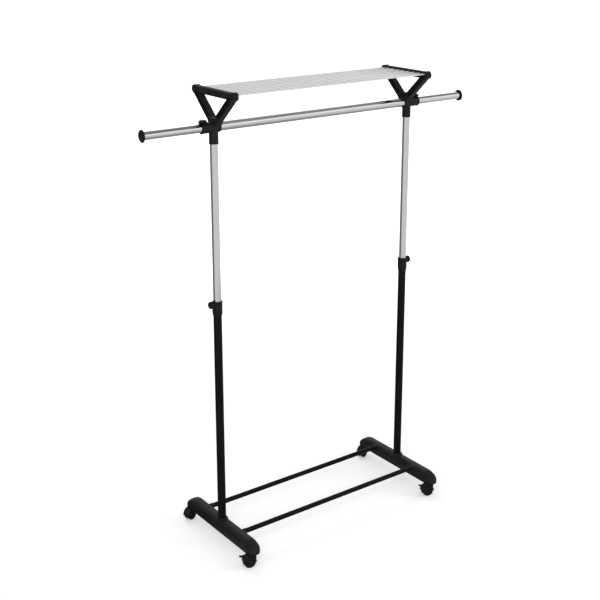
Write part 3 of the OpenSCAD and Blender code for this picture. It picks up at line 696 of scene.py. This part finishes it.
# Rings round the mouths of a connector's three sockets
def addConnectorRings(bm, side, v):
    post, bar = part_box("upper_post_" + side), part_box("hanging_bar")
    low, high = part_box("bar_connector_" + side)
    centre = (post[0] + post[1]) / 2
    out = sides[side]
    barZ = (bar[0].z + bar[1].z) / 2
    postR, barR = (post[1].x - post[0].x) / 2 / mm + v["play"], (bar[1].z - bar[0].z) / 2 / mm
    rodR = (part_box("extension_rod_" + side)[1].z - barZ) / mm + v["rodPlay"]
    skin = postR + v["postWall"]
    ring = [(postR, 0), (skin, 0), (skin, 5), (skin - 1.5, 6.4), (postR, 6.4)]
    place = placing((centre.x, 0, low.z))
    addTurned(bm, ring, place, steps=72, closed=True, soften=v["round"], segments=3)
    outerEnd = high.x if out > 0 else low.x
    innerEnd = centre.x - out * v["innerEnd"] * mm
    skin = barR + v["barWall"]
    for x, way, bore in ((outerEnd, -out, rodR), (innerEnd, out, barR + v["play"])):
        ring = [(bore, 0), (skin, 0), (skin, 4.4), (skin - 2.2, 5.8), (bore, 5.8)]
        place = placing((x, 0, barZ), (way, 0, 0))
        addTurned(bm, ring, place, steps=72, closed=True, soften=v["round"], segments=3)


# Grip bars across the tread of a brake lever
def addGrip(bm, side, v):
    joint = joints["brake_front_" + side + "_press"]
    pivot, axis = Vector(joint["pos_m"]), Vector(joint["axis"])
    away = Vector((axis.y, -axis.x, 0)).normalized()
    if away.x > 0:
        away = -away
    lean = math.radians(v["lean"])
    along = away * math.cos(lean) + Vector((0, 0, 1)) * math.sin(lean)
    up = Vector((0, 0, 1)) * math.cos(lean) - away * math.sin(lean)
    turn = Matrix((along, along.cross(up), up)).transposed().to_4x4()
    place = Matrix.Translation(pivot) @ turn
    halfLong, halfWide = v["half"]
    foot, crest = v["height"]
    for reach in v["along"]:
        start, end = (reach - halfLong, -halfWide, foot), (reach + halfLong, halfWide, crest)
        addBlock(bm, start, end, soften=v["round"], place=place)


def makeSoftened(kind, side, soften):
    node = kind + "_" + side
    bm = bmesh.new()
    addCopy(bm, node, soften)
    if kind == "bar_connector":
        addConnectorRings(bm, side, connectorRings)
    if kind == "brake_lever_front":
        addGrip(bm, side, leverGrip)
    finishPiece(bm, node, "moulding", blackPlastic)


for kind, soften in softened.items():
    for side in sides:
        makeSoftened(kind, side, soften)
print("mouldings made")

# End caps

endCap = {
    "dish": 1.2, "rim": 4.0, "dome": 3.0, "round": 0.45,
    "plugLong": 18.0, "plugWall": 2.45, "plugPlay": 1.05, "floor": 1.5,
}


# A flanged cap with a shallow dish, on a plug that fills the rod's bore
def makeEndCap(side, v):
    node = "end_cap_" + side
    low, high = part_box(node)
    out = sides[side]
    centreZ = (low.z + high.z) / 2
    radius = (high.z - low.z) / 2 / mm
    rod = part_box("extension_rod_" + side)
    rodR = (rod[1].z - rod[0].z) / 2 / mm
    face = rod[1].x if out > 0 else rod[0].x
    rim, thick = v["rim"], v["rim"] + v["dome"]
    plugR, dishZ = rodR - v["plugPlay"], thick - v["dish"]
    plugBore = plugR - v["plugWall"]
    profile = [
        (plugBore, -v["plugLong"]), (plugR, -v["plugLong"]), (plugR, 0),
        (rodR + 1.2, 0), (rodR + 1.6, -1.0), (radius - 2.4, 0),
        (radius, 1.2), (radius, rim - 0.6), (radius - 2.6, rim + 1.2), (radius - 6.4, thick - 0.4),
        (radius - 8.0, thick), (radius - 9.2, thick), (radius - 10.2, dishZ), (0, dishZ + 0.5),
        (0, v["floor"]), (plugBore, v["floor"]),
    ]
    bm = bmesh.new()
    place = placing((face, 0, centreZ), (out, 0, 0))
    addTurned(bm, profile, place, steps=80, closed=True, soften=v["round"], segments=3)
    finishPiece(bm, node, "moulding", blackPlastic)


for side in sides:
    makeEndCap(side, endCap)
print("end caps made")

# Wheels

wheel = {
    "radius": 23.0, "bore": 2.55, "inner": 4.6, "width": 10.6, "shoulder": 2.2, "dish": 2.6,
    "hub": 6.6, "round": 0.5, "spokes": 6, "spokeHalf": 0.8, "spokeRound": 0.35,
}


# Two dished and spoked wheels on one axle, each with a capped hub
def makeWheels(name, v):
    node = "wheels_" + name
    joint = joints[node + "_roll"]
    centre, axis = Vector(joint["pos_m"]), Vector(joint["axis"]).normalized()
    r, w, s, hub = v["radius"], v["width"], v["shoulder"], v["hub"]
    dishZ = w - v["dish"]
    profile = [
        (v["bore"], 0), (r - 5.5, 0), (r - 4.6, 0.9), (r - s, 0.6), (r - 0.5, s * 0.8),
        (r, w * 0.36), (r, w * 0.64), (r - 0.5, w - s * 0.8), (r - s, w - 0.25), (r - 4.4, w),
        (r - 5.4, w - 0.5), (r - 6.0, dishZ), (hub + 1.6, dishZ + 0.5), (hub + 0.8, w - 0.4), (hub, w),
        (3.0, w), (2.4, w - 0.4), (0, w - 0.4), (0, w - 0.9), (v["bore"], w - 0.9),
    ]
    half = v["spokeHalf"]
    spokeStart, spokeEnd = (hub + 0.2, -half, dishZ - 1), (r - 5.6, half, w - 0.9)
    bm = bmesh.new()
    for way in (-1, 1):
        place = placing(centre + axis * (way * v["inner"] * mm), axis * way)
        addTurned(bm, profile, place, steps=72, closed=True, soften=v["round"])
        for k in range(v["spokes"]):
            spoke = place @ Matrix.Rotation(2 * math.pi * k / v["spokes"], 4, "Z")
            addBlock(bm, spokeStart, spokeEnd, soften=v["spokeRound"], place=spoke)
    finishPiece(bm, node, "moulding", wheelBlack)


for name in ("front_left", "front_right", "rear_left", "rear_right"):
    makeWheels(name, wheel)
print("wheels made")

# The other pieces keep their CAD shape

finishOf = {
    "steel": zincSteel, "pale_plastic": palePlastic, "black_plastic": blackPlastic,
    "black_paint": powderCoat, "chrome": chromeUpright, "wheel_black": wheelBlack,
}
for node, piece in frame["nodes"].items():
    if not piece.data.materials:
        piece.data.materials.append(None)
    for materialSlot in piece.material_slots:
        materialSlot.material = finishOf[slotOf[node]]
print("finishes given to the CAD pieces")

# Floor, lamps and surroundings

# Distances are in metres. near and far are where the floor starts and stops brightening.
studio = {
    "floor": 0.80, "floorSize": 40.0, "below": 0.0005, "near": 1.2, "far": 3.6, "lift": (0.32, 1.0),
    "floorInMetal": (0.30, 0.66), "horizon": (0.0, 0.22), "wallInMetal": 0.95,
    "ceilingStart": (0.44, 0.70), "ceilingInMetal": 0.20, "sky": 0.62,
    "flag": (-0.72, 0.69, 0.0), "flagEdge": (0.66, 0.90), "flagInMetal": 0.22,
}
white = (1, 1, 1, 1)


# A dark flag at one side, which bright metal shows as a stripe
def flagShade(t, way, v):
    flag = t.add("ShaderNodeVectorMath", {"operation": "DOT_PRODUCT"})
    t.feed(flag, "#0", way)
    t.feed(flag, "#1", v["flag"])
    return t.between(flag.outputs["Value"], *v["flagEdge"], 1.0, v["flagInMetal"])


# Pale paper: the camera sees it fade to white, and bright metal sees it darker near by
def makeFloor(v):
    bm = bmesh.new()
    bmesh.ops.create_grid(bm, x_segments=8, y_segments=8, size=v["floorSize"])
    mesh = bpy.data.meshes.new("studioFloor")
    bm.to_mesh(mesh)
    bm.free()
    floor = bpy.data.objects.new("studioFloor", mesh)
    bpy.context.collection.objects.link(floor)
    floor.location.z = -v["below"]
    material = bpy.data.materials.new("paperFloor")
    material.use_nodes = True
    material.node_tree.nodes.clear()
    t = Tree(material.node_tree)
    rays = t.add("ShaderNodeLightPath").outputs
    place = t.add("ShaderNodeTexCoord").outputs["Object"]
    fibre = t.add("ShaderNodeTexNoise", Vector=place, Scale=220.0, Detail=4.0).outputs["Fac"]
    tone = t.between(fibre, 0.3, 0.7, v["floor"] - 0.01, v["floor"] + 0.01)
    away = t.add("ShaderNodeVectorMath", {"operation": "LENGTH"})
    t.feed(away, "#0", place)
    away = away.outputs["Value"]
    paper = t.add("ShaderNodeBsdfDiffuse", Color=tone)
    lift = t.between(away, v["near"], v["far"], *v["lift"])
    seen = t.add("ShaderNodeAddShader")
    t.feed(seen, "#0", paper)
    t.feed(seen, "#1", t.add("ShaderNodeEmission", Color=white, Strength=lift))
    plain = t.add("ShaderNodeMixShader")
    t.feed(plain, "#0", rays["Is Camera Ray"])
    t.feed(plain, "#1", paper)
    t.feed(plain, "#2", seen)
    inMetal = t.between(away, v["near"], v["far"], *v["floorInMetal"])
    toward = t.add("ShaderNodeVectorMath", {"operation": "NORMALIZE"})
    t.feed(toward, "#0", place)
    inMetal = t.times(inMetal, flagShade(t, toward.outputs["Vector"], v))
    mixed = t.add("ShaderNodeMixShader")
    t.feed(mixed, "#0", t.maths("MAXIMUM", rays["Is Glossy Ray"], rays["Is Transmission Ray"]))
    t.feed(mixed, "#1", plain)
    t.feed(mixed, "#2", t.add("ShaderNodeEmission", Color=white, Strength=inMetal))
    t.feed(t.add("ShaderNodeOutputMaterial"), "Surface", mixed)
    mesh.materials.append(material)


# White to the camera, an even light on the object, and walls under a darker ceiling in metal
def makeWorld(v):
    world = bpy.data.worlds.new("paleStudio")
    bpy.context.scene.world = world
    world.use_nodes = True
    world.node_tree.nodes.clear()
    t = Tree(world.node_tree)
    rays = t.add("ShaderNodeLightPath").outputs
    way = t.add("ShaderNodeTexCoord").outputs["Generated"]
    height = t.add("ShaderNodeSeparateXYZ", Vector=way).outputs["Z"]
    wall = t.between(height, *v["horizon"], v["floorInMetal"][1], v["wallInMetal"])
    wall = t.times(wall, t.between(height, *v["ceilingStart"], 1.0, v["ceilingInMetal"]))
    inMetal = t.times(wall, flagShade(t, way, v))
    glossy = t.maths("MAXIMUM", rays["Is Glossy Ray"], rays["Is Transmission Ray"])
    level = t.blend(glossy, (v["sky"],) * 3 + (1,), inMetal)
    level = t.blend(rays["Is Camera Ray"], level, white)
    shown = t.add("ShaderNodeBackground", Color=level, Strength=1.0)
    t.feed(t.add("ShaderNodeOutputWorld"), "Surface", shown)


# Places and sizes in metres, power in watts
lampAim = Vector((0, 0, 0.9))
lamps = {
    "keySoftbox": {"place": (-2.6, -2.8, 3.4), "size": (1.8, 1.8), "power": 62.0},
    "sideSoftbox": {"place": (3.6, -2.4, 2.2), "size": (1.2, 2.4), "power": 40.0},
    "backSoftbox": {"place": (0.6, 3.4, 3.2), "size": (2.6, 1.2), "power": 34.0},
}


def makeLamp(name, v):
    lampData = bpy.data.lights.new(name, "AREA")
    lampData.shape = "RECTANGLE"
    lampData.size, lampData.size_y = v["size"]
    lampData.energy = v["power"]
    lamp = bpy.data.objects.new(name, lampData)
    bpy.context.collection.objects.link(lamp)
    lamp.location = v["place"]
    lamp.visible_glossy = False  # metal shows the walls instead
    lamp.rotation_euler = (lampAim - Vector(v["place"])).to_track_quat("-Z", "Y").to_euler()


makeFloor(studio)
makeWorld(studio)
for name, lampValues in lamps.items():
    makeLamp(name, lampValues)
bpy.context.scene.view_settings.view_transform = "Standard"
print("studio made")
